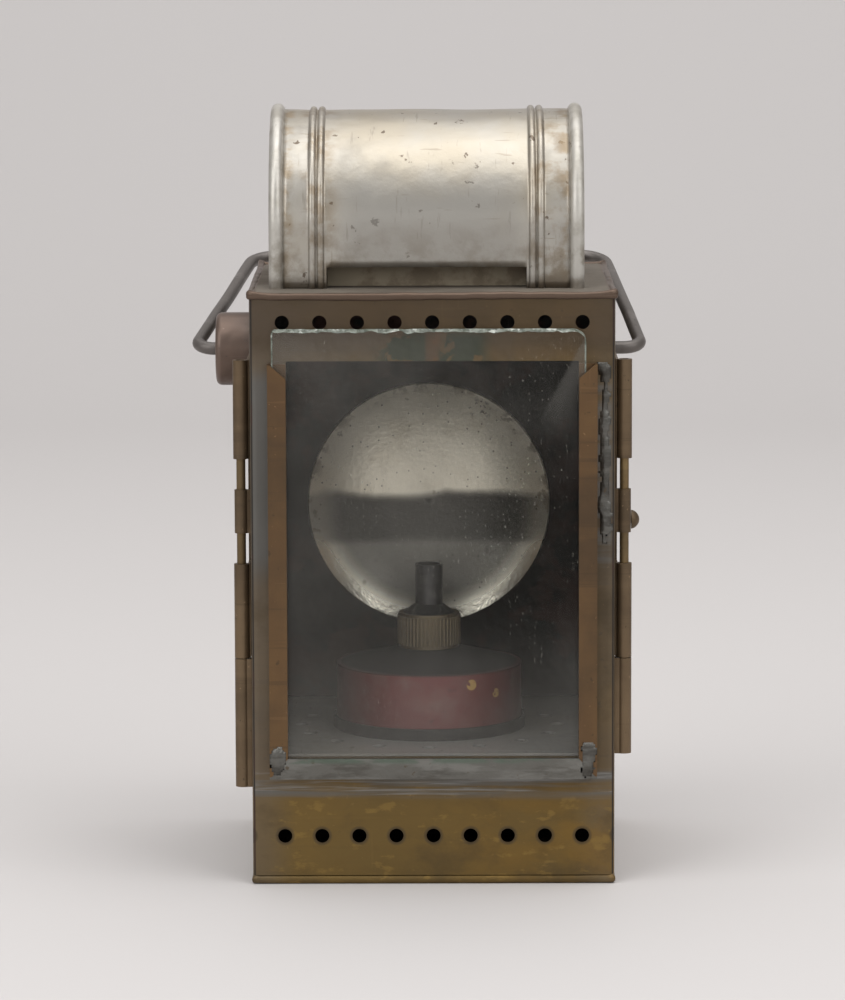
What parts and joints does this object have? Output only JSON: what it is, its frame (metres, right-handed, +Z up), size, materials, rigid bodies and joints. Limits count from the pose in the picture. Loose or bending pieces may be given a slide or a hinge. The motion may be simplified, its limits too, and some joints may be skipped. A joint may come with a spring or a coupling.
{
  "type": "railroad lantern",
  "caption": "Box-shaped brass hand lantern with a sliding front glass, hinged side doors, an arched tin hood, a wire bail and an oil burner before a round reflector.",
  "frame": {"origin": "middle of the flat base, on the surface that the lantern stands on", "axes": "+Z up; the front glass faces -Y; +X is the lantern's right side as seen from the front"},
  "size_m": [0.1538, 0.1539, 0.2557],
  "materials": {
    "case_brass": "aged brown brass sheet",
    "roof_brass": "dull brown brass sheet",
    "door_brass": "dark brown brass",
    "pin_brass": "rubbed brass",
    "sooty_sheet": "sooty sheet",
    "hood_tin": "worn tinned sheet",
    "channel_copper": "brown copper sheet",
    "soldered_sill": "grey solder",
    "front_glass": "dusty clear glass",
    "bail_steel": "browned steel wire",
    "drum_copper": "brown copper",
    "reflector_tin": "spotted bright tin",
    "shelf_tin": "dull tin",
    "fount_red": "dark red paint",
    "collar_brass": "dull knurled brass",
    "burner_steel": "sooty steel",
    "wick_cotton": "charred cotton"
  },
  "bodies": {
    "case": {"case_shell": "case_brass", "rear_wall": "case_brass", "base_pan": "case_brass", "roof_plate": "roof_brass", "chimney_duct": "sooty_sheet", "hood_shell": "hood_tin", "hood_end_left": "hood_tin", "hood_end_right": "hood_tin", "glass_channel_left": "channel_copper", "glass_channel_right": "channel_copper", "glass_sill": "soldered_sill", "hinge_pin_left": "pin_brass", "hinge_pin_right": "pin_brass", "hinge_eyelet_left": "door_brass", "hinge_eyelet_right": "door_brass", "hinge_sleeve_left": "door_brass", "hinge_sleeve_right": "door_brass", "pivot_drum": "drum_copper", "reflector": "reflector_tin", "reflector_brackets": "sooty_sheet", "burner_shelf": "shelf_tin", "fount_ring": "sooty_sheet", "fount": "fount_red", "wick": "wick_cotton"},
    "glass": {"front_glass": "front_glass"},
    "left_door": {"door_left": "door_brass"},
    "right_door": {"door_right": "door_brass", "door_knob": "door_brass"},
    "handle": {"bail": "bail_steel"},
    "burner": {"burner_collar": "collar_brass", "burner_tube": "burner_steel"}
  },
  "joints": [
    {"name": "glass_slide", "type": "slide", "parent": "case", "child": "glass", "axis": [0, 0, 1], "range_m": [0, 0.12]},
    {"name": "left_door_hinge", "type": "hinge", "parent": "case", "child": "left_door", "pos_m": [-0.0632, -0.048, 0.12], "axis": [0, 0, 1], "range_deg": [0, 110]},
    {"name": "right_door_hinge", "type": "hinge", "parent": "case", "child": "right_door", "pos_m": [0.0632, -0.048, 0.12], "axis": [0, 0, -1], "range_deg": [0, 110]},
    {"name": "bail_swing", "type": "hinge", "parent": "case", "child": "handle", "pos_m": [0, 0, 0.173], "axis": [1, 0, 0], "range_deg": [-40, 152]},
    {"name": "burner_turn", "type": "hinge", "parent": "case", "child": "burner", "pos_m": [-0.0014, 0, 0.08], "axis": [0, 0, 1], "continuous": true}
  ]
}
